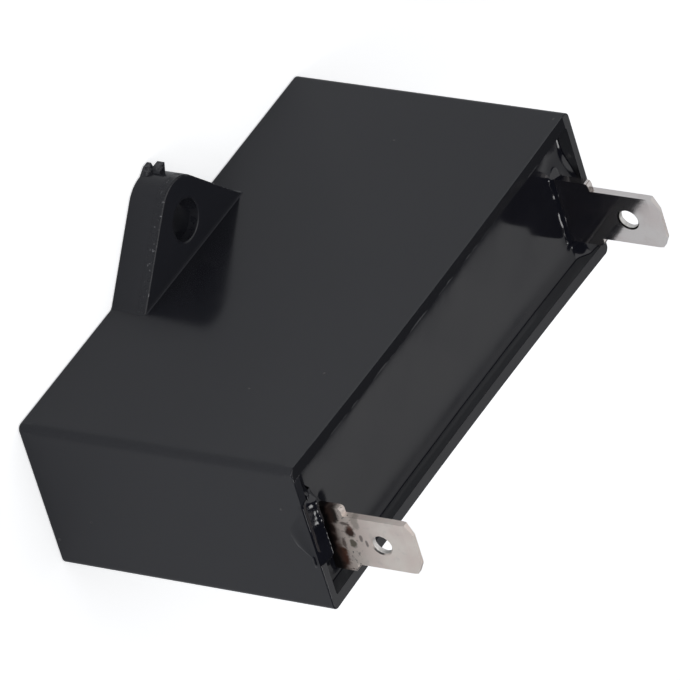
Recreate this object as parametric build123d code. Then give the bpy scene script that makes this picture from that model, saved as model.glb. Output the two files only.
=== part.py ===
from build123d import *
import math
import os

# Millimetres. The box stands on its closed bottom at z = 0 with its open side up.
# X runs along the box and the near end is +X. The ear stands out of the -Y wall.

# Case
case_length = 59.2
case_thickness = 18.6
case_height = 33.3
end_wall = 1.0
long_wall = 1.45
floor_thickness = 1.5
wall_draft = 0.12
corner_radius = 0.7
pocket_corner_radius = 0.3
bottom_edge_radius = 0.35
rim_sag = 0.48
front_rim_sag = 0.42
front_pocket_sag = 0.18
bottom_sag = 0.05
rim_edge_radius = 0.15

# Mounting ear
ear_width = 20.3
ear_reach = 8.9
ear_thickness = 4.35
ear_tip_x = -0.45
ear_tip_radius = 3.8
ear_hole_diameter = 4.6
ear_hole_reach = 3.9
ear_root_radius = 1.0
ear_edge_radius = 0.2
ear_foot_share = 0.7

# Torn gate on the ear's tip. Each arm end: place sideways, height, width and depth of its section.
gate_root_depth = 0.75
low_arm_reach = 0.55
low_arm_root = (-0.25, 0.7, 2.7, 1.2)
low_arm_end = (-1.4, 0.45, 0.8, 0.5)
high_arm_reach = 0.4
high_arm_root = (-1.25, 1.3, 1.5, 1.3)
high_arm_end = (-1.95, 1.55, 0.8, 0.9)

# Potting resin
resin_recess = 2.0
meniscus_radius = 0.45
base_meniscus_rise = 0.55
base_meniscus_width = 0.7
overflow_length = 7.0
overflow_middle_y = -1.6
overflow_flare = 1.2
overflow_crest_depth = 0.35
overflow_foot_gap = 0.4
overflow_hollow = 0.3
overflow_thickness = 0.12
overflow_rim_cover = 0.85
overflow_end_radius = 0.45

# Terminals
blade_width = 6.3
blade_thickness = 0.8
blade_length = 8.0
blade_hole_diameter = 2.2
blade_hole_height = 3.85
blade_hole_edge = 0.15
tip_chamfer_length = 1.3
tip_chamfer_width = 0.7
tip_bevel_length = 1.1
tip_bevel_depth = 0.2
base_width = 8.2
base_height = 5.2
shoulder_radius = 0.45
leg_width = 3.6
leg_length = 10.0
near_face_inset = 3.9
far_face_inset = 3.7
near_tab_y = 2.75
far_tab_y = 1.25
near_shoulder_rise = 1.35
far_shoulder_rise = 2.65

# Winding and what is joined to it
winding_bottom_gap = 1.4
winding_top_gap = 3.8
winding_side_gap = 0.95
wrap_thickness = 0.3
spray_thickness = 0.6
leg_gap = 0.2
solder_radius = 2.7
solder_cover = 0.35
solder_edge_slope = 0.5
solder_middle_rise = 1.35

# Where shapes of one piece meet, and how far cutting shapes run on
overlap = 0.05
cut_margin = 1.0

# Derived sizes
front_y = -case_thickness / 2
pocket_length = case_length - 2 * end_wall
pocket_thickness = case_thickness - 2 * long_wall
resin_level = case_height - resin_recess
near_face_x = case_length / 2 - near_face_inset
far_face_x = -case_length / 2 + far_face_inset
near_shoulder_z = case_height + near_shoulder_rise
far_shoulder_z = case_height + far_shoulder_rise
near_spray_face = near_face_x - blade_thickness - leg_gap
far_spray_face = far_face_x + leg_gap
winding_start_x = far_spray_face + spray_thickness
winding_length = near_spray_face - spray_thickness - winding_start_x
wrapped_height = resin_level - winding_top_gap - winding_bottom_gap - floor_thickness
wrapped_thickness = pocket_thickness - 2 * winding_side_gap
winding_height = wrapped_height - 2 * wrap_thickness
winding_thickness = wrapped_thickness - 2 * wrap_thickness
winding_middle_z = floor_thickness + winding_bottom_gap + wrapped_height / 2
solder_depth = leg_gap + blade_thickness + solder_cover


def box_outline(length, thickness, radius, sag, front_sag, level):
    """Closed outline with round corners, its long sides bowed inwards by sag and front_sag."""
    x = length / 2
    y = thickness / 2
    r = radius
    c = r * (1 - math.sqrt(0.5))
    edges = [
        ThreePointArc((-x + r, -y), (0, -y + front_sag), (x - r, -y)),
        ThreePointArc((x - r, -y), (x - c, -y + c), (x, -y + r)),
        Line((x, -y + r), (x, y - r)),
        ThreePointArc((x, y - r), (x - c, y - c), (x - r, y)),
        ThreePointArc((x - r, y), (0, y - sag), (-x + r, y)),
        ThreePointArc((-x + r, y), (-x + c, y - c), (-x, y - r)),
        Line((-x, y - r), (-x, -y + r)),
        ThreePointArc((-x, -y + r), (-x + c, -y + c), (-x + r, -y)),
    ]
    return Wire(edges).moved(Location((0, 0, level)))


def outer_block():
    foot_length = case_length - 2 * wall_draft
    foot_thickness = case_thickness - 2 * wall_draft
    low = box_outline(foot_length, foot_thickness, corner_radius, bottom_sag, bottom_sag, 0)
    high = box_outline(case_length, case_thickness, corner_radius, rim_sag, front_rim_sag, case_height)
    block = Solid.make_loft([low, high], ruled=True)
    block = fillet(block.edges().group_by(Axis.Z)[0], bottom_edge_radius)
    return fillet(block.edges().group_by(Axis.Z)[-1], rim_edge_radius)


def pocket_outline(level, inset):
    """Outline of the pocket at a height, moved in from its walls by inset."""
    share = (level - floor_thickness) / (case_height - floor_thickness)
    draft = wall_draft * (1 - share)
    sag = bottom_sag + (rim_sag - bottom_sag) * share
    front_sag = bottom_sag + (front_pocket_sag - bottom_sag) * share
    length = pocket_length - 2 * draft - 2 * inset
    thickness = pocket_thickness - 2 * draft - 2 * inset
    return box_outline(length, thickness, pocket_corner_radius, sag, front_sag, level)


def pocket_block():
    low = pocket_outline(floor_thickness, 0)
    high = pocket_outline(case_height, 0)
    return Solid.make_loft([low, high], ruled=True)


def ear_block():
    """Ear plate with round tip and roots. It starts inside the long wall."""
    root_y = front_y + wall_draft + bottom_sag + overlap
    strip_depth = long_wall * ear_foot_share
    tip = Pos(ear_tip_x, front_y - ear_reach + ear_tip_radius) * Circle(ear_tip_radius)
    foot = Pos(0, root_y + strip_depth / 2) * Rectangle(ear_width, strip_depth)
    strip = Pos(0, root_y + strip_depth / 2) * Rectangle(ear_width + 4 * ear_root_radius, strip_depth)
    plate = make_hull(tip.edges() + foot.edges()) + strip
    corners = plate.vertices().filter_by(
        lambda v: abs(abs(v.X) - ear_width / 2) < 0.01 and abs(v.Y - root_y) < 0.01
    )
    ear = extrude(fillet(corners, ear_root_radius), ear_thickness)
    ear = fillet(ear.edges().group_by(Axis.Z)[-1], ear_edge_radius)
    return fillet(ear.edges().group_by(Axis.Z)[0], bottom_edge_radius)


def torn_arm(root, end, reach):
    """Tapered stump from inside the ear's tip to its torn end."""
    tip_reach = ear_reach - front_y
    sections = []
    for (side, rise, width, depth), away in ((root, -gate_root_depth), (end, reach)):
        level = Plane.XZ.offset(tip_reach + away)
        sections.append(level * Pos(ear_tip_x + side, rise) * Rectangle(width, depth))
    return loft(sections)


def gate_stub():
    """What stayed on the ear's tip when the moulding gate was snapped off."""
    low_arm = torn_arm(low_arm_root, low_arm_end, low_arm_reach)
    high_arm = torn_arm(high_arm_root, high_arm_end, high_arm_reach)
    return low_arm + high_arm


def case():
    body = outer_block() + ear_block() - pocket_block()
    hole = Cylinder(ear_hole_diameter / 2, 2 * ear_thickness)
    body = body - Pos(ear_tip_x, front_y - ear_hole_reach, ear_thickness / 2) * hole
    return body + gate_stub()


def terminal(face_x, middle_y, shoulder_z):
    """Flat stamped tab: blade, wider base with round shoulders, leg. Its face looks to +X."""
    blade = Pos(0, blade_length / 2) * Rectangle(blade_width, blade_length)
    tip_corners = blade.vertices().group_by(Axis.Y)[-1]
    blade = chamfer(tip_corners, tip_chamfer_width, tip_chamfer_length)
    base = Pos(0, -base_height / 2) * Rectangle(base_width, base_height)
    base = fillet(base.vertices().group_by(Axis.Y)[-1], shoulder_radius)
    leg = Pos(0, -base_height - leg_length / 2) * Rectangle(leg_width, leg_length + 2 * overlap)
    outline = blade + base + leg
    strip = extrude(outline, blade_thickness)
    strip = strip - Pos(0, blade_hole_height, 0) * Cylinder(blade_hole_diameter / 2, 4 * blade_thickness)
    hole_edges = strip.edges().filter_by(GeomType.CIRCLE).filter_by(
        lambda e: abs(e.radius - blade_hole_diameter / 2) < 0.01
    )
    strip = chamfer(hole_edges, blade_hole_edge)
    low = blade_length - tip_bevel_length
    for face_z, away in ((blade_thickness, 1), (0, -1)):
        wedge = Plane.YZ * Polygon(
            (low, face_z),
            (blade_length, face_z - away * tip_bevel_depth),
            (blade_length + cut_margin, face_z - away * tip_bevel_depth),
            (blade_length + cut_margin, face_z + away * cut_margin),
            (low, face_z + away * cut_margin),
            align=None,
        )
        strip = strip - extrude(wedge, blade_width, both=True)
    foot = (face_x - blade_thickness, middle_y, shoulder_z)
    return Plane(origin=foot, x_dir=(0, 1, 0), z_dir=(1, 0, 0)).location * strip


def oval(height, thickness, start_x, length):
    """Flat-pressed roll shape lying along X."""
    section = Plane(origin=(start_x, 0, winding_middle_z), x_dir=(0, 1, 0), z_dir=(1, 0, 0))
    return extrude(section * SlotOverall(height, thickness, rotation=90), length)


def film_winding():
    return oval(winding_height, winding_thickness, winding_start_x, winding_length)


def outer_wrap():
    sleeve = oval(wrapped_height, wrapped_thickness, winding_start_x, winding_length)
    return sleeve - film_winding()


def end_spray(start_x):
    return oval(wrapped_height, wrapped_thickness, start_x, spray_thickness)


def solder(spray_face_x, away, middle_y, shoulder_z, tab):
    """Round solder mound with a sloping edge over the leg's end, minus the leg itself."""
    mound = Cylinder(solder_radius, solder_depth, align=(Align.CENTER, Align.CENTER, Align.MIN))
    mound = chamfer(mound.edges().group_by(Axis.Z)[-1], solder_edge_slope)
    leg_end_z = shoulder_z - base_height - leg_length
    middle = (spray_face_x, middle_y, leg_end_z + solder_middle_rise)
    return Plane(origin=middle, x_dir=(0, 1, 0), z_dir=(away, 0, 0)).location * mound - tab


def base_meniscus(face_x, middle_y):
    """Resin drawn up round a tab's base."""
    middle_x = face_x - blade_thickness / 2
    spread = 2 * base_meniscus_width
    foot = RectangleRounded(blade_thickness + spread, base_width + spread, base_meniscus_width)
    crest = RectangleRounded(blade_thickness + 2 * overlap, base_width + 2 * overlap, overlap)
    low = Pos(middle_x, middle_y, resin_level - overlap) * foot
    high = Pos(middle_x, middle_y, resin_level + base_meniscus_rise) * crest
    return loft([low, high])


def overflow():
    """Resin that climbs from the near tab to the rim and lies on the rim as a thin tongue."""
    wall_x = pocket_length / 2
    crest_x = wall_x - overflow_crest_depth
    foot_x = near_face_x + overflow_foot_gap
    foot_z = resin_level - 2 * overlap
    hollow = ((crest_x + foot_x) / 2 + overflow_hollow, resin_level + resin_recess / 3)
    ramp = [
        Line((foot_x, foot_z), (wall_x, foot_z)),
        Line((wall_x, foot_z), (wall_x, case_height)),
        Line((wall_x, case_height), (crest_x, case_height)),
        ThreePointArc((crest_x, case_height), hollow, (foot_x, resin_level)),
        Line((foot_x, resin_level), (foot_x, foot_z)),
    ]
    side_view = extrude(Plane.XZ * make_face(Wire(ramp)), case_thickness, both=True)
    crest_y = overflow_length / 2
    foot_y = crest_y + overflow_flare
    front_view = Polygon(
        (-foot_y, foot_z), (foot_y, foot_z), (crest_y, case_height), (-crest_y, case_height), align=None
    )
    front_view = extrude(Plane.YZ * Pos(overflow_middle_y, 0) * front_view, case_length, both=True)
    slope = side_view & front_view & pocket_block()
    tongue_length = overflow_crest_depth + overflow_rim_cover - overlap
    tongue = RectangleRounded(tongue_length, overflow_length - overflow_end_radius, overflow_end_radius)
    tongue_middle = (crest_x + overlap + tongue_length / 2, overflow_middle_y, case_height)
    return slope + extrude(Pos(*tongue_middle) * tongue, overflow_thickness)


def potting_resin(sealed_pieces):
    top = resin_level + meniscus_radius
    fill = pocket_block() & Pos(0, 0, top / 2) * Box(2 * case_length, 2 * case_thickness, top)
    hollow_outline = pocket_outline(top, overlap).moved(Location((0, 0, resin_level - top)))
    hollow = extrude(make_face(hollow_outline), resin_recess + cut_margin)
    hollow = fillet(hollow.edges().group_by(Axis.Z)[0], meniscus_radius)
    body = fill - hollow
    body = body + base_meniscus(near_face_x, near_tab_y) + base_meniscus(far_face_x, far_tab_y)
    body = body + overflow()
    for piece in sealed_pieces:
        body = body - piece
    return body


near_tab = terminal(near_face_x, near_tab_y, near_shoulder_z)
far_tab = terminal(far_face_x, far_tab_y, far_shoulder_z)
near_spray = end_spray(near_spray_face - spray_thickness)
far_spray = end_spray(far_spray_face)
near_solder = solder(near_spray_face, 1, near_tab_y, near_shoulder_z, near_tab)
far_solder = solder(far_spray_face, -1, far_tab_y, far_shoulder_z, far_tab)
roll = film_winding()
wrap = outer_wrap()
sealed = [roll, wrap, near_spray, far_spray, near_tab, far_tab, near_solder, far_solder]

pieces = {
    "case": case(),
    "potting_resin": potting_resin(sealed),
    "terminal_near": near_tab,
    "terminal_far": far_tab,
    "film_winding": roll,
    "outer_wrap": wrap,
    "end_spray_near": near_spray,
    "end_spray_far": far_spray,
    "solder_near": near_solder,
    "solder_far": far_solder,
}

os.makedirs("parts", exist_ok=True)
for name, piece in pieces.items():
    export_step(piece, f"parts/{name}.step")
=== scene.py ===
import math

import bmesh
import bpy
from mathutils import Matrix, Vector, noise


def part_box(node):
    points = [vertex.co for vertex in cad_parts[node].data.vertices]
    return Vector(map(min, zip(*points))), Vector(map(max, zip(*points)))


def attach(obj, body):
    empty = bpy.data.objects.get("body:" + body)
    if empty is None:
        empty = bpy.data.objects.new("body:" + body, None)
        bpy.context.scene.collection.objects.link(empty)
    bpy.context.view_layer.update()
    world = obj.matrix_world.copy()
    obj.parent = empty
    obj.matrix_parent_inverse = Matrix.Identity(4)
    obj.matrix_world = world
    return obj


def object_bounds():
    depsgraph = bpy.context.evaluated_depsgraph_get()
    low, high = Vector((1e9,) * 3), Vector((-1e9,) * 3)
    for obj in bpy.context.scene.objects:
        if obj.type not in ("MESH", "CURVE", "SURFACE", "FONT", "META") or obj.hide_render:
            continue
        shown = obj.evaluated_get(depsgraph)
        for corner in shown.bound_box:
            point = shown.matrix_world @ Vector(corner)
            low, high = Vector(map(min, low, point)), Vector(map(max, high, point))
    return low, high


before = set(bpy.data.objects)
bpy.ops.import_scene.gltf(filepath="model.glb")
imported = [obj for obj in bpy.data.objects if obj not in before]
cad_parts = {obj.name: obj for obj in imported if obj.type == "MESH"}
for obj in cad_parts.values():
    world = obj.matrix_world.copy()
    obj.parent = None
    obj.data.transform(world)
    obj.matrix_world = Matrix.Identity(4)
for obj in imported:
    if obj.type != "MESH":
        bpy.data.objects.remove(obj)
cad_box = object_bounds()
mm = 0.001

# Film roll, out of sight inside the resin. Two metallised plastic films wound on
# each other and pressed flat. Its turns show as fine lines on a silvery grey side.
roll_silver = (0.52, 0.53, 0.54)
roll_grey = (0.36, 0.37, 0.39)
film_thickness_shown = 0.12 * mm


def new_finish(name, colour, metallic, roughness):
    """Node material. Returns it with its shader."""
    finish = bpy.data.materials.new(name)
    finish.use_nodes = True
    shader = finish.node_tree.nodes["Principled BSDF"]
    shader.inputs["Base Color"].default_value = (*colour, 1)
    shader.inputs["Metallic"].default_value = metallic
    shader.inputs["Roughness"].default_value = roughness
    return finish, shader


def add(finish, kind, inputs, **fields):
    """Adds a node to a finish. Each input is a value or another node's output."""
    made = finish.node_tree.nodes.new("ShaderNode" + kind)
    for field, value in fields.items():
        setattr(made, field, value)
    for socket, value in inputs.items():
        if isinstance(value, bpy.types.NodeSocket):
            finish.node_tree.links.new(value, made.inputs[socket])
        else:
            made.inputs[socket].default_value = value
    return made


def join(finish, output, shader, socket):
    finish.node_tree.links.new(output, shader.inputs[socket])


def place(finish):
    """Place on the part, in metres of the part's own frame."""
    return add(finish, "TexCoord", {}).outputs["Object"]


def mottle(finish, size, detail=2.0, stretch=(1, 1, 1)):
    """Cloudy pattern from 0 to 1 with patches of about that size."""
    spread = add(finish, "Mapping", {"Vector": place(finish), "Scale": stretch})
    cloud = add(finish, "TexNoise", {"Vector": spread.outputs[0], "Scale": 1 / size, "Detail": detail})
    return cloud.outputs[0]


def between(finish, value, low, high, at_low=0.0, at_high=1.0):
    """Smooth step of a value from low to high."""
    step = add(
        finish,
        "MapRange",
        {0: value, 1: low, 2: high, 3: at_low, 4: at_high},
        interpolation_type="SMOOTHSTEP",
    )
    return step.outputs[0]


def blend_colours(finish, share, first, second):
    """Colour that goes from first to second. Each is a colour or an output."""
    mix = add(finish, "Mix", {0: share}, data_type="RGBA")
    for socket, colour in ((6, first), (7, second)):
        if isinstance(colour, bpy.types.NodeSocket):
            join(finish, colour, mix, socket)
        else:
            mix.inputs[socket].default_value = (*colour, 1)
    return mix.outputs[2]


def roughen(finish, height, depth):
    """Surface normal from a height pattern of that depth in metres."""
    relief = add(finish, "Bump", {"Height": height, "Distance": depth, "Strength": 1.0})
    return relief.outputs[0]


def dress(node_name, finish):
    """Puts a finish on a solid of the frame."""
    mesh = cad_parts[node_name].data
    mesh.materials.clear()
    mesh.materials.append(finish)


film_finish, film_shader = new_finish("metallised_film", roll_silver, 0.7, 0.35)
turns = mottle(film_finish, film_thickness_shown, 1.0, (0.02, 1, 1))
join(film_finish, blend_colours(film_finish, turns, roll_silver, roll_grey), film_shader, "Base Color")
dress("film_winding", film_finish)

# Outer wrap, out of sight. A few turns of plain clear film wound round the roll
# and heat-sealed, which keep it tight while its ends are sprayed.
wrap_amber = (0.62, 0.54, 0.36)
wrap_pale = (0.74, 0.70, 0.58)
wrap_cloud_size = 4 * mm

wrap_finish, wrap_shader = new_finish("plain_film", wrap_amber, 0.0, 0.25)
wrap_clouds = mottle(wrap_finish, wrap_cloud_size)
join(wrap_finish, blend_colours(wrap_finish, wrap_clouds, wrap_amber, wrap_pale), wrap_shader, "Base Color")
dress("outer_wrap", wrap_finish)

# Sprayed ends, out of sight. Molten zinc sprayed on both ends of the roll joins all
# the turns of a film. It sets as a dull grey crust of fine grains.
zinc_light = (0.40, 0.41, 0.42)
zinc_dark = (0.22, 0.22, 0.23)
zinc_grain = 0.25 * mm
zinc_grain_depth = 0.05 * mm

zinc_finish, zinc_shader = new_finish("sprayed_zinc", zinc_light, 0.8, 0.65)
zinc_clouds = mottle(zinc_finish, zinc_grain, 4.0)
join(zinc_finish, blend_colours(zinc_finish, zinc_clouds, zinc_light, zinc_dark), zinc_shader, "Base Color")
join(zinc_finish, roughen(zinc_finish, zinc_clouds, zinc_grain_depth), zinc_shader, "Normal")
for sprayed_end in ("end_spray_near", "end_spray_far"):
    dress(sprayed_end, zinc_finish)

# Solder mounds, out of sight. Each holds the end of a tab's leg on a sprayed end,
# and is bright where it flowed and duller where it chilled.
solder_bright = (0.66, 0.66, 0.65)
solder_dull = (0.48, 0.48, 0.47)
solder_cloud_size = 1.2 * mm

solder_finish, solder_shader = new_finish("solder", solder_bright, 1.0, 0.3)
solder_clouds = mottle(solder_finish, solder_cloud_size)
solder_colour = blend_colours(solder_finish, solder_clouds, solder_bright, solder_dull)
join(solder_finish, solder_colour, solder_shader, "Base Color")
join(solder_finish, between(solder_finish, solder_clouds, 0.3, 0.7, 0.2, 0.45), solder_shader, "Roughness")
for mound in ("solder_near", "solder_far"):
    dress(mound, solder_finish)

# Tabs. Stamped from brass strip and tin plated, a soft warm grey with faint rolling
# lines. The near one is dull, and flux, hot resin and rust have stained its foot.
tin_grey = (0.92, 0.88, 0.86)
tin_pink = (0.88, 0.81, 0.79)
dull_grey = (0.90, 0.83, 0.77)
dull_pink = (0.85, 0.75, 0.70)
tin_smudge = (0.66, 0.62, 0.59)
soot_black = (0.006, 0.005, 0.005)
burnt_brown = (0.055, 0.032, 0.026)
rust_red = (0.105, 0.040, 0.027)
rust_orange = (0.17, 0.072, 0.045)
olive_grey = (0.16, 0.145, 0.115)
# Round each punched hole a ring is painted dark as painted shade, and the hole's bore is painted light as a
# painted highlight.
ring_painted_shade = (0.06, 0.055, 0.055)
bore_painted_light = (0.93, 0.91, 0.89)
tin_cloud = 3 * mm
tin_smear = 1.0 * mm
rolling_line = 0.25 * mm
rolling_depth = 0.003 * mm
near_hole = (25.3 * mm, 2.75 * mm, 38.5 * mm)
far_hole = (-26.3 * mm, 1.25 * mm, 39.8 * mm)
bore_radius = (1.10 * mm, 1.14 * mm)
ring_radius = (1.24 * mm, 1.32 * mm)
lower_ring_middle = (3.7, 37.9)
lower_ring_reach = (0.9, 0.7)
tab_face_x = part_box("terminal_near")[1].x
speck_size = 0.4 * mm
speck_levels = (34.6 * mm, 36.4 * mm)
foot_patch = 0.9 * mm
foot_wander = 1.2 * mm
brown_foot_levels = (33.4 * mm, 34.65 * mm)
black_foot_levels = (33.05 * mm, 33.85 * mm)
dull_metal = 0.35
stain_through = 2 * mm
stain_tear = 0.5 * mm
# Each stain: middle along Y and Z and reach, in millimetres, raggedness, colour, depth.
stains = (
    ((-0.5, 33.45), (1.35, 0.7), 0.8, soot_black, 0.97),
    ((1.6, 34.95), (0.75, 0.6), 1.1, burnt_brown, 1.0),
    ((1.0, 35.1), (0.35, 0.35), 1.0, rust_red, 0.8),
    ((3.1, 35.0), (0.55, 0.42), 1.0, olive_grey, 1.0),
    ((0.55, 34.6), (0.2, 0.6), 1.4, burnt_brown, 0.8),
    ((2.2, 36.15), (0.45, 0.22), 1.4, burnt_brown, 0.7),
    ((2.8, 36.7), (0.45, 0.18), 1.4, burnt_brown, 0.7),
    ((3.3, 33.9), (0.7, 0.3), 1.3, burnt_brown, 0.8),
    ((0.2, 35.9), (1.0, 0.5), 1.3, olive_grey, 0.5),
    ((5.0, 33.05), (1.75, 1.0), 1.0, rust_red, 1.0),
    ((4.3, 33.6), (0.6, 0.3), 1.2, rust_orange, 0.9),
    ((5.6, 32.9), (0.9, 0.35), 1.4, rust_orange, 0.7),
)


def reckon(finish, operation, *values, clamp=False):
    """One step of arithmetic on values or outputs."""
    return add(finish, "Math", dict(enumerate(values)), operation=operation, use_clamp=clamp).outputs[0]


def times(finish, first, second):
    return reckon(finish, "MULTIPLY", first, second)


def what_is_left(finish, share):
    return reckon(finish, "SUBTRACT", 1.0, share)


def steer(finish, operation, first, second):
    """One step of arithmetic on places or directions."""
    return add(finish, "VectorMath", {0: first, 1: second}, operation=operation).outputs[0]


def length_of(finish, way):
    return add(finish, "VectorMath", {0: way}, operation="LENGTH").outputs["Value"]


def place_along(finish, axis):
    """Place along one axis of the part."""
    return add(finish, "SeparateXYZ", {0: place(finish)}).outputs[axis]


def spot(finish, middle, reach, ragged):
    """Patch on the near tab's face, a stain or the lower part of the painted shade round the hole: 1 in its
    middle, 0 outside, with a torn edge.
    """
    centre = (tab_face_x, middle[0] * mm, middle[1] * mm)
    spread = (1 / stain_through, 1 / (reach[0] * mm), 1 / (reach[1] * mm))
    away = steer(finish, "SUBTRACT", place(finish), centre)
    gap = length_of(finish, steer(finish, "MULTIPLY", away, spread))
    torn = reckon(finish, "MULTIPLY_ADD", mottle(finish, stain_tear, 3.0), ragged, gap)
    return between(finish, torn, 0.6 + ragged / 2, 1.25 + ragged / 2, 1.0, 0.0)


def punched(finish, centre):
    """Shares of a tab's finish in its punched hole, painted light, and on the ring round it, painted dark as
    shade.
    """
    away = steer(finish, "SUBTRACT", place(finish), centre)
    gap = length_of(finish, steer(finish, "MULTIPLY", away, (0, 1, 1)))
    bore = between(finish, gap, *bore_radius, 1.0, 0.0)
    ring = between(finish, gap, *ring_radius, 1.0, 0.0)
    return bore, ring


def tin_plating(name, first, second, smooth, dull, smudged):
    """Tin finish that wanders between two colours and from smooth to dull."""
    finish, shader = new_finish(name, first, 1.0, smooth)
    clouds = mottle(finish, tin_cloud, 3.0)
    plain = blend_colours(finish, between(finish, clouds, 0.35, 0.65), first, second)
    smears = between(finish, mottle(finish, tin_smear, 4.0), 0.55, 0.75, 0.0, smudged)
    soiled = blend_colours(finish, smears, plain, tin_smudge)
    lines = mottle(finish, rolling_line, 2.0, (1, 1, 0.06))
    join(finish, roughen(finish, lines, rolling_depth), shader, "Normal")
    join(finish, between(finish, clouds, 0.3, 0.7, smooth, dull), shader, "Roughness")
    return finish, shader, soiled


far_tin, far_shader, far_colour = tin_plating("tin_plating", tin_grey, tin_pink, 0.10, 0.16, 0.25)
far_bore, far_ring = punched(far_tin, far_hole)
far_colour = blend_colours(far_tin, far_ring, far_colour, ring_painted_shade)
far_colour = blend_colours(far_tin, far_bore, far_colour, bore_painted_light)
join(far_tin, far_colour, far_shader, "Base Color")
join(far_tin, between(far_tin, far_bore, 0.0, 1.0, 1.0, 0.3), far_shader, "Metallic")
dress("terminal_far", far_tin)

near_tin, near_shader, near_colour = tin_plating(
    "stained_tin_plating", dull_grey, dull_pink, 0.30, 0.42, 0.45
)
bare = dull_metal
for middle, reach, ragged, colour, depth in stains:
    shape = times(near_tin, spot(near_tin, middle, reach, ragged), depth)
    near_colour = blend_colours(near_tin, shape, near_colour, colour)
    bare = times(near_tin, bare, what_is_left(near_tin, shape))
tab_level = place_along(near_tin, "Z")
specks = between(near_tin, mottle(near_tin, speck_size, 3.0), 0.60, 0.68, 0.0, 0.85)
specks = times(near_tin, specks, between(near_tin, tab_level, *speck_levels, 1.0, 0.0))
near_colour = blend_colours(near_tin, specks, near_colour, burnt_brown)
foot_level = reckon(near_tin, "MULTIPLY_ADD", mottle(near_tin, foot_patch, 4.0), foot_wander, tab_level)
brown_share = between(near_tin, foot_level, *brown_foot_levels, 1.0, 0.0)
black_share = between(near_tin, foot_level, *black_foot_levels, 1.0, 0.0)
near_colour = blend_colours(near_tin, brown_share, near_colour, burnt_brown)
near_colour = blend_colours(near_tin, black_share, near_colour, soot_black)
bare = times(near_tin, bare, what_is_left(near_tin, brown_share))
near_bore, near_ring = punched(near_tin, near_hole)
# On the near tab only the lower part of the ring gets the painted shade.
lower_ring = times(near_tin, near_ring, spot(near_tin, lower_ring_middle, lower_ring_reach, 0.5))
near_colour = blend_colours(near_tin, lower_ring, near_colour, ring_painted_shade)
near_colour = blend_colours(near_tin, near_bore, near_colour, bore_painted_light)
join(near_tin, bare, near_shader, "Metallic")
join(near_tin, near_colour, near_shader, "Base Color")
dress("terminal_near", near_tin)

# Case. One black moulding in a hard plastic: the box, its ear with the screw hole, and
# the torn gate on the ear's tip. It is semi-gloss and dusty, and its rims are rubbed.
plastic_black = (0.0145, 0.0153, 0.0200)
plastic_worn = (0.0175, 0.0182, 0.0230)
# The inner faces of the back wall and the far end wall are painted a lighter grey: a painted reflection of
# the light these walls catch.
long_wall_painted_light = (0.066, 0.068, 0.074)
end_wall_painted_light = (0.032, 0.033, 0.037)
torn_grey = (0.075, 0.075, 0.082)
# The thin line along the ear's root is painted lighter: a painted highlight.
root_painted_highlight = (0.034, 0.035, 0.042)
dust_grey = (0.065, 0.064, 0.062)
grit_grey = (0.16, 0.16, 0.17)
# Zones of the case: ranges of x, y and z in millimetres.
back_wall_inside = ((-28.7, 28.7), (6.9, 8.2), (31.0, 33.26))
far_wall_inside = ((-28.9, -28.3), (-8.2, 8.2), (31.0, 33.26))
torn_gate = ((-4.0, 2.0), (-20.0, -18.22), (-1.0, 2.6))
ear_upper_edge = ((-12.0, 12.0), (-18.6, -9.2), (3.3, 4.34))
ear_gritty_edge = ((-12.0, 12.0), (-18.6, -9.2), (3.6, 4.33))
ear_root = ((-10.2, 10.2), (-9.5, -9.0), (4.36, 4.56))
near_corner = ((27.5, 30.0), (-9.6, -7.2), (1.5, 32.2))
front_rim = ((-28.45, 29.7), (-9.7, -6.0), (33.15, 34.0))
near_rim = ((28.3, 29.7), (-8.2, -3.6), (33.05, 34.0))
dust_gap = 3.6 * mm
dust_size = 0.055
dust_shown = 0.35
grit_size = 0.35 * mm
gate_grain = 0.3 * mm
front_rim_y = -7.66 * mm
rim_patch = 2.6 * mm
rim_wander = 0.24 * mm
rim_edge_blur = 0.05 * mm
front_rim_lean = (-0.42, 0.0, 0.0)
near_rim_lean = (0.55, 0.0, 0.0)
ear_root_lean = (0.0, 0.0, 0.9)
hole_middle = (-0.45 * mm, -13.2 * mm, 0.0)
hole_lip = (2.2 * mm, 2.52 * mm)
hole_lip_radius = 2.4 * mm
hole_lip_levels = (4.2 * mm, 4.6 * mm)
hole_lip_lean = 0.45
hole_surround = (2.6 * mm, 30 * mm)
corner_softness = 1.1 * mm
case_cloud_size = 9 * mm
ear_wear_size = 0.8 * mm
skin_grain = (0.35 * mm, 0.0012 * mm)
edge_nick = (0.45 * mm, 0.02 * mm)
gate_break = (0.4 * mm, 0.2 * mm)


def dust(finish, gap, size, share):
    """Small pale grains, about one for each gap, of which only a share shows."""
    cells = add(finish, "TexVoronoi", {"Vector": place(finish), "Scale": 1 / gap})
    grain = between(finish, cells.outputs["Distance"], size * 0.4, size, 1.0, 0.0)
    pick = add(finish, "SeparateColor", {0: cells.outputs["Color"]}).outputs[0]
    return times(finish, grain, reckon(finish, "LESS_THAN", pick, share))


def within(finish, value, low, high):
    """1 where a value lies between low and high, else 0."""
    above = reckon(finish, "GREATER_THAN", value, low)
    return times(finish, above, reckon(finish, "LESS_THAN", value, high))


def region(finish, x, y, z):
    """1 inside the ranges of x, y and z, given in millimetres, else 0."""
    share = 1.0
    for axis, (low, high) in (("X", x), ("Y", y), ("Z", z)):
        share = times(finish, share, within(finish, place_along(finish, axis), low * mm, high * mm))
    return share


def stretched(finish, way, factor):
    return add(finish, "VectorMath", {0: way, "Scale": factor}, operation="SCALE").outputs[0]


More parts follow.
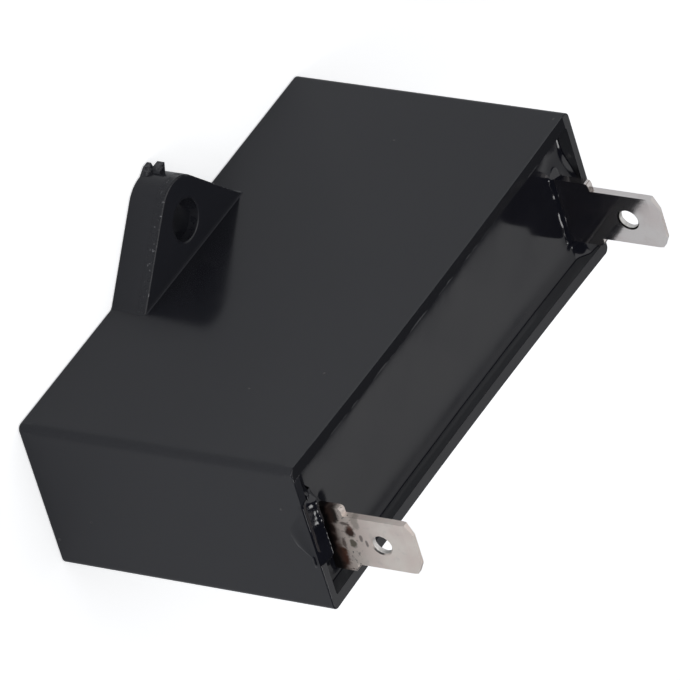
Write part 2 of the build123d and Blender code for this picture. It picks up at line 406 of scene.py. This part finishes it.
def lean(finish, normal, share, direction):
    """Tips a normal towards a direction where share is 1."""
    pushed = steer(finish, "ADD", normal, stretched(finish, direction, share))
    return add(finish, "VectorMath", {0: pushed}, operation="NORMALIZE").outputs[0]


def grain_depth(finish, grain):
    """Depth of a rough skin from the size and depth of its grain."""
    size, depth = grain
    return times(finish, mottle(finish, size, 3.0), depth)


case_finish, case_shader = new_finish("black_plastic", plastic_black, 0.0, 0.16)
case_clouds = mottle(case_finish, case_cloud_size, 3.0)
torn_share = region(case_finish, *torn_gate)
gate_tone = between(case_finish, mottle(case_finish, gate_grain, 3.0), 0.4, 0.7)
torn_tone = times(case_finish, torn_share, gate_tone)
ear_edge = region(case_finish, *ear_upper_edge)
root_line = region(case_finish, *ear_root)
from_hole = steer(case_finish, "SUBTRACT", place(case_finish), hole_middle)
from_axis = steer(case_finish, "MULTIPLY", from_hole, (1, 1, 0))
axis_gap = length_of(case_finish, from_axis)
gritty_edge = region(case_finish, *ear_gritty_edge)
gritty = times(case_finish, gritty_edge, within(case_finish, axis_gap, *hole_surround))
grit = times(case_finish, gritty, between(case_finish, mottle(case_finish, grit_size, 3.0), 0.61, 0.70))
case_colour = blend_colours(case_finish, case_clouds, plastic_black, plastic_worn)
# The inner walls get a painted reflection and the ear's root a painted highlight; the torn gate, dust and
# grit are the moulding's own colour.
for share, tint in (
    (region(case_finish, *back_wall_inside), long_wall_painted_light),
    (region(case_finish, *far_wall_inside), end_wall_painted_light),
    (torn_tone, torn_grey),
    (dust(case_finish, dust_gap, dust_size, dust_shown), dust_grey),
    (grit, grit_grey),
    (root_line, root_painted_highlight),
):
    case_colour = blend_colours(case_finish, share, case_colour, tint)
join(case_finish, case_colour, case_shader, "Base Color")
plain_rough = between(case_finish, case_clouds, 0.3, 0.7, 0.14, 0.19)
worn_rough = between(case_finish, mottle(case_finish, ear_wear_size, 3.0), 0.4, 0.6, 0.05, 0.35)
case_rough = reckon(case_finish, "ADD", plain_rough, times(case_finish, ear_edge, worn_rough))
join(case_finish, case_rough, case_shader, "Roughness")

# The near corner looks softer than it is cut. The rims, the ear's root and the hole's lip
# catch the light as worn edges do.
true_normal = add(case_finish, "NewGeometry", {}).outputs["Normal"]
soft_normal = add(case_finish, "Bevel", {"Radius": corner_softness}, samples=6).outputs[0]
corner_share = region(case_finish, *near_corner)
corner_blend = add(case_finish, "Mix", {0: corner_share, 4: true_normal, 5: soft_normal}, data_type="VECTOR")
torn_rim = between(case_finish, mottle(case_finish, rim_patch, 4.0, (1, 0.1, 1)), 0.38, 0.62)
wandering = reckon(case_finish, "MULTIPLY_ADD", torn_rim, rim_wander, place_along(case_finish, "Y"))
rim_front = between(case_finish, wandering, front_rim_y, front_rim_y + rim_edge_blur, 1.0, 0.0)
front_share = times(case_finish, region(case_finish, *front_rim), rim_front)
near_share = reckon(case_finish, "SUBTRACT", region(case_finish, *near_rim), front_share, clamp=True)
lip_level = within(case_finish, place_along(case_finish, "Z"), *hole_lip_levels)
lip_share = times(case_finish, within(case_finish, axis_gap, *hole_lip), lip_level)
inward = stretched(case_finish, from_axis, -hole_lip_lean / hole_lip_radius)
case_normal = corner_blend.outputs[1]
for share, direction in (
    (front_share, front_rim_lean),
    (near_share, near_rim_lean),
    (root_line, ear_root_lean),
    (lip_share, inward),
):
    case_normal = lean(case_finish, case_normal, share, direction)
nicks = times(case_finish, grain_depth(case_finish, edge_nick), ear_edge)
breaks = times(case_finish, grain_depth(case_finish, gate_break), torn_share)
relief = reckon(case_finish, "ADD", grain_depth(case_finish, skin_grain), nicks)
relief = reckon(case_finish, "ADD", relief, breaks)
worn_relief = {"Height": relief, "Distance": 1.0, "Strength": 1.0, "Normal": case_normal}
join(case_finish, add(case_finish, "Bump", worn_relief).outputs[0], case_shader, "Normal")
dress("case", case_finish)

# Potting resin. Poured in black and liquid, it set glossy with long shallow waves, and
# crept up the walls and the tabs. Its skin is thin and lies on the block below it.
resin_black = (0.0030, 0.0033, 0.0070)
resin_hazy = (0.0100, 0.0108, 0.0160)
resin_cloud_size = 6 * mm
resin_dust_gap = 4 * mm
resin_dust_size = 0.05
resin_dust_shown = 0.3
sheet_thickness = 0.02 * mm
ripple_size = 2.5 * mm
ripple_depth = 0.008 * mm
skin_steps = (330, 100)
# Places and sizes from here to the end of the spilled resin are in millimetres.
rim_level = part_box("case")[1].z / mm
resin_level = 31.3
skin_lift = 0.02
pocket_half_length = 28.58
pocket_half_width = 7.85
back_wall_bow = 0.453
front_wall_bow = 0.172
creep_lip = 0.03
creep_lip_reach = 0.2
creep_height = 0.50
creep_reach = 1.0
near_creep = 0.45
far_creep = 0.55
tab_creep_reach = 0.45
tab_creep_wander = 0.7
tab_creep_rate = 0.6
tab_overlap = 0.15
wave_size = 9.0
wave_height = 0.035
climb_foot = 26.0
climb_crest = 28.25
climb_middle_y = -1.6
climb_half_length = 3.6
climb_flank = 1.7
climb_over_rim = 0.03
pool_height = 1.0
pool_start = 25.7
pool_end = 27.3
pool_start_y = -5.2
pool_end_y = -1.0


def soft_step(value, low, high):
    """0 below low, 1 above high, smooth between."""
    share = min(max((value - low) / (high - low), 0.0), 1.0)
    return share * share * (3 - 2 * share)


tab_boxes = [[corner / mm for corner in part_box(tab)] for tab in ("terminal_near", "terminal_far")]


def gap_to_tab(tab_box, x, y):
    """How far a place on the resin is from a tab's section, in millimetres."""
    low, high = tab_box
    side = max(low.x - x, x - high.x, 0.0)
    end = max(low.y - y, y - high.y, 0.0)
    return math.hypot(side, end)


def wall_places(x):
    """Where the front and back walls of the pocket are at a length along the box."""
    bow = 1 - (x / pocket_half_length) ** 2
    return -pocket_half_width + front_wall_bow * bow, pocket_half_width - back_wall_bow * bow


def skin_height(x, y):
    """Height of the resin's skin over its level, all in millimetres."""
    front, back = wall_places(x)
    rises = []
    for gap in (y - front, back - y, pocket_half_length - x, pocket_half_length + x):
        gap = max(gap, 0.0)
        lip = creep_lip * math.exp(-gap / creep_lip_reach)
        rises.append(lip + creep_height * math.exp(-gap / creep_reach))
    wander = 1 + tab_creep_wander * noise.noise((x * tab_creep_rate, y * tab_creep_rate, 3.0))
    for tab_box, rise in zip(tab_boxes, (near_creep, far_creep)):
        rises.append(wander * rise * math.exp(-gap_to_tab(tab_box, x, y) / tab_creep_reach))
    beside = 1 - soft_step(abs(y - climb_middle_y), climb_half_length, climb_half_length + climb_flank)
    climb = rim_level - resin_level + climb_over_rim
    rises.append(climb * beside * soft_step(x, climb_foot, climb_crest))
    pool = pool_height * soft_step(y, pool_start_y, pool_end_y) * soft_step(-x, pool_start, pool_end)
    wave = noise.noise((x / wave_size, y / wave_size, 0.0))
    return math.sqrt(sum(rise * rise for rise in rises)) + pool + wave_height * (1 + wave)


def closed_sheet(name, sheet, finish):
    """Gives an open sheet its thickness and makes it a piece that stays with the box."""
    bmesh.ops.recalc_face_normals(sheet, faces=sheet.faces)
    if sheet.faces[0].normal.z < 0:
        bmesh.ops.reverse_faces(sheet, faces=sheet.faces)
    bmesh.ops.solidify(sheet, geom=sheet.faces[:], thickness=sheet_thickness)
    mesh = bpy.data.meshes.new(name)
    for face in sheet.faces:
        face.smooth = True
    sheet.to_mesh(mesh)
    sheet.free()
    mesh.materials.append(finish)
    piece = bpy.data.objects.new(name, mesh)
    bpy.context.scene.collection.objects.link(piece)
    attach(piece, "root")


resin_finish, resin_shader = new_finish("potting_resin", resin_black, 0.0, 0.12)
resin_clouds = mottle(resin_finish, resin_cloud_size)
resin_dust = dust(resin_finish, resin_dust_gap, resin_dust_size, resin_dust_shown)
resin_colour = blend_colours(resin_finish, resin_clouds, resin_black, resin_hazy)
resin_colour = blend_colours(resin_finish, resin_dust, resin_colour, dust_grey)
join(resin_finish, resin_colour, resin_shader, "Base Color")
join(resin_finish, between(resin_finish, resin_clouds, 0.3, 0.7, 0.10, 0.15), resin_shader, "Roughness")
ripples = mottle(resin_finish, ripple_size, 1.0)
join(resin_finish, roughen(resin_finish, ripples, ripple_depth), resin_shader, "Normal")
dress("potting_resin", resin_finish)

skin = bmesh.new()
bmesh.ops.create_grid(skin, x_segments=skin_steps[0], y_segments=skin_steps[1], size=1.0)
for vertex in skin.verts:
    x = vertex.co.x * pocket_half_length
    front, back = wall_places(x)
    y = front + (vertex.co.y + 1) / 2 * (back - front)
    vertex.co = Vector((x, y, resin_level + skin_lift + skin_height(x, y))) * mm
covered = []
for face in skin.faces:
    spot_under = face.calc_center_median() / mm
    for low, high in tab_boxes:
        inside_x = min(spot_under.x - low.x, high.x - spot_under.x)
        inside_y = min(spot_under.y - low.y, high.y - spot_under.y)
        if min(inside_x, inside_y) > tab_overlap:
            covered.append(face)
bmesh.ops.delete(skin, geom=covered, context="FACES")
closed_sheet("resin_skin", skin, resin_finish)

# Spilled resin. Some crept up between the near tab and the rim and set over the rim as
# a fat bead, steeper beside the tab, with one short run down the end of the box.
box_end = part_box("case")[1].x / mm
spill_start_y = -5.4
spill_end_y = 3.9
spill_start_fade = 1.2
spill_end_fade = 1.0
spill_inside_x = 26.9
spill_foot = -1.3
spill_steps = (120, 70)
spill_cloud_size = 3.0
# Shares of the sheet, from inside to outside, where it crests, bends and goes down.
crest_at = 0.15
bend_at = 0.6
face_at = 0.7
bead_crest = 0.63
bead_slopes = ((27.7, 0.0), (28.15, 0.60), (28.5, 0.35), (28.9, 0.30), (29.45, 0.30))
bead_swell = 0.92
tab_side_swell = 0.80
swell_change = (-1.8, -0.4)
swell_wander = 0.2
swell_rate = 0.9
bead_wander = 0.06
bead_wander_rates = (0.7, 0.5)
bead_wander_fade = 0.8
edge_radius = 0.15
lap_length = 0.7
lap_wander = 0.2
lap_rate = 0.8
lap_bulge = 0.16
lap_bulge_places = (-2.5, 1.6)
lap_bulge_skew = 1.6
lap_end_depth = 0.02
run_middle_y = -0.7
run_half_width = 2.8
run_length = 1.7
run_roundness = 0.8
fade_level = -0.04
steep_zone = ((26.5, 29.9), (-1.3, 6.0), (33.0, 34.5))
steep_lean = (0.4, 0.0, 0.0)
end_depth = 0.08

spill_finish, spill_shader = new_finish("spilled_resin", resin_black, 0.0, 0.10)
spill_clouds = mottle(spill_finish, spill_cloud_size * mm)
spill_colour = blend_colours(spill_finish, spill_clouds, resin_black, resin_hazy)
join(spill_finish, spill_colour, spill_shader, "Base Color")
join(spill_finish, between(spill_finish, spill_clouds, 0.3, 0.7, 0.08, 0.12), spill_shader, "Roughness")
spill_ripples = roughen(spill_finish, mottle(spill_finish, ripple_size, 1.0), ripple_depth)
steep_normal = lean(spill_finish, spill_ripples, region(spill_finish, *steep_zone), steep_lean)
join(spill_finish, steep_normal, spill_shader, "Normal")


def bead_rise(x):
    """Height of the bead over the rim. It falls from its crest with the slopes given."""
    rise = bead_crest
    for (start, first), (end, second) in zip(bead_slopes, bead_slopes[1:]):
        part = min(max(x - start, 0.0), end - start)
        here = first + (second - first) * part / (end - start)
        rise -= part * (first + here) / 2
    return rise


def spill_point(across, down):
    """Point of the spill's outer side. Both inputs go from 0 to 1."""
    y = spill_start_y + across * (spill_end_y - spill_start_y)
    full = soft_step(y, spill_start_y, spill_start_y + spill_start_fade)
    full *= 1 - soft_step(y, spill_end_y - spill_end_fade, spill_end_y)
    off_middle = (y - run_middle_y) / run_half_width
    lap = lap_length + lap_wander * noise.noise((y * lap_rate, 4.0, 0.0))
    lap += run_length * max(1 - off_middle * off_middle, 0.0) ** run_roundness
    corner_x = box_end - edge_radius
    film = bead_rise(corner_x)
    crest_x = bead_slopes[0][0]
    swell = bead_swell + (tab_side_swell - bead_swell) * soft_step(y, *swell_change)
    swell += swell_wander * noise.noise((y * swell_rate, 1.0, 3.0))
    crest = film + (bead_crest - film) * swell
    if down < crest_at:
        share = down / crest_at
        x = spill_inside_x + (crest_x - spill_inside_x) * share
        rise = spill_foot + (crest - spill_foot) * soft_step(share, 0.0, 1.0)
    elif down < bend_at:
        x = crest_x + (corner_x - crest_x) * (down - crest_at) / (bend_at - crest_at)
        rate_y, rate_x = bead_wander_rates
        wander = bead_wander * noise.noise((y * rate_y, x * rate_x, 7.0))
        rise = bead_rise(x + wander * soft_step(corner_x - x, 0.0, bead_wander_fade))
        rise = film + (rise - film) * swell
    elif down < face_at:
        turn = (down - bend_at) / (face_at - bend_at) * math.pi / 2
        out = edge_radius + film
        x = corner_x + out * math.sin(turn)
        rise = out * math.cos(turn) - edge_radius
    else:
        share = min((down - face_at) / (1 - face_at), 1.0)
        bulge = lap_bulge * soft_step(y, *lap_bulge_places) * math.sin(math.pi * share ** lap_bulge_skew)
        x = box_end + film * (1 - share) + bulge - lap_end_depth * share
        rise = -edge_radius - lap * share
    sunk = end_depth * (1 - full)
    if down < bend_at:
        rise = min(rise, fade_level) + (max(rise, fade_level) - fade_level) * full - sunk
    else:
        x = x - (x - box_end + end_depth) * (1 - full) if rise < -edge_radius else x - sunk
        rise -= sunk
    return Vector((x, y, rim_level + rise))


spill = bmesh.new()
bmesh.ops.create_grid(spill, x_segments=spill_steps[0], y_segments=spill_steps[1], size=1.0)
for vertex in spill.verts:
    vertex.co = spill_point((vertex.co.x + 1) / 2, (vertex.co.y + 1) / 2) * mm
closed_sheet("resin_spill", spill, spill_finish)

# Floor. A plain pale board under the part. It looks white to the camera and still
# keeps a soft shadow where the part stands.
floor_size = 3.0
floor_grey = (0.77, 0.785, 0.81)
floor_pale = (0.79, 0.805, 0.83)
floor_lift = 0.6
floor_cloud_size = 0.5

floor_mesh = bpy.data.meshes.new("floor")
floor_shape = bmesh.new()
bmesh.ops.create_grid(floor_shape, x_segments=1, y_segments=1, size=floor_size / 2)
floor_shape.to_mesh(floor_mesh)
floor_shape.free()
floor = bpy.data.objects.new("floor", floor_mesh)
bpy.context.scene.collection.objects.link(floor)
floor_finish, floor_shader = new_finish("floor_board", floor_grey, 0.0, 0.9)
floor_clouds = mottle(floor_finish, floor_cloud_size)
floor_tone = blend_colours(floor_finish, floor_clouds, floor_grey, floor_pale)
join(floor_finish, floor_tone, floor_shader, "Base Color")
floor_shader.inputs["Specular IOR Level"].default_value = 0.0
floor_shader.inputs["Emission Color"].default_value = (1, 1, 1, 1)
seen = add(floor_finish, "LightPath", {}).outputs["Is Camera Ray"]
join(floor_finish, times(floor_finish, seen, floor_lift), floor_shader, "Emission Strength")
floor_mesh.materials.append(floor_finish)

# Light. A wide soft panel over the ear's side lights the part and its board. Smaller ones
# give the sheen on the resin, the ear and the near end, and a small lamp adds glints.
part_middle = (Vector(cad_box[0]) + Vector(cad_box[1])) / 2
room_dim = 0.035
backdrop_white = 1.0


def panel(name, direction, distance, width, height, brightness):
    """Soft oval lamp that looks at the part from a direction."""
    lamp = bpy.data.lights.new(name, "AREA")
    lamp.shape = "ELLIPSE"
    lamp.size = width
    lamp.size_y = height
    lamp.energy = brightness * math.pi * math.pi * width * height / 4
    holder = bpy.data.objects.new(name, lamp)
    away = Vector(direction).normalized()
    holder.location = part_middle + away * distance
    holder.rotation_euler = away.to_track_quat("Z", "Y").to_euler()
    holder.visible_camera = False
    bpy.context.scene.collection.objects.link(holder)


panel("key_panel", (0.15, -0.45, 0.85), 1.0, 1.6, 1.6, 1.05)
panel("sheen_panel", (-0.617, 0.14, 0.76), 0.6, 1.15, 0.46, 0.53)
panel("low_card", (-0.62, -0.76, 0.20), 0.7, 0.5, 0.16, 0.8)
panel("side_panel", (0.90, -0.15, 0.42), 0.6, 0.28, 0.28, 4.8)
panel("back_lamp", (-0.05, 0.588, 0.80), 0.6, 0.11, 0.11, 6)

room = bpy.data.worlds.new("room")
room.use_nodes = True
bpy.context.scene.world = room
room_nodes = room.node_tree.nodes
room_links = room.node_tree.links
room_shade = room_nodes["Background"]
room_shade.inputs["Color"].default_value = (1, 1, 1, 1)
room_seen = room_nodes.new("ShaderNodeLightPath")
room_level = room_nodes.new("ShaderNodeMapRange")
room_level.inputs[3].default_value = room_dim
room_level.inputs[4].default_value = backdrop_white
room_links.new(room_seen.outputs["Is Camera Ray"], room_level.inputs[0])
room_links.new(room_level.outputs[0], room_shade.inputs["Strength"])

# Camera. It looks down on the near corner from the ear's side with a long lens, turned
# so that the box's open side faces right, as in the photograph.
camera_place = (0.790376, -0.753812, 0.689541)
camera_right = Vector((-0.480763, 0.244326, 0.842124))
camera_down = Vector((0.623124, 0.770890, 0.132079))
camera_ahead = Vector((-0.616914, 0.588246, -0.522860))
lens_length = 660.07
sensor_width = 36

lens = bpy.data.cameras.new("camera")
lens.sensor_width = sensor_width
lens.lens = lens_length
camera = bpy.data.objects.new("camera", lens)
turn = Matrix((camera_right, -camera_down, -camera_ahead)).transposed()
camera.matrix_world = Matrix.Translation(camera_place) @ turn.to_4x4()
bpy.context.scene.collection.objects.link(camera)
bpy.context.scene.camera = camera
bpy.context.scene.view_settings.view_transform = "Standard"
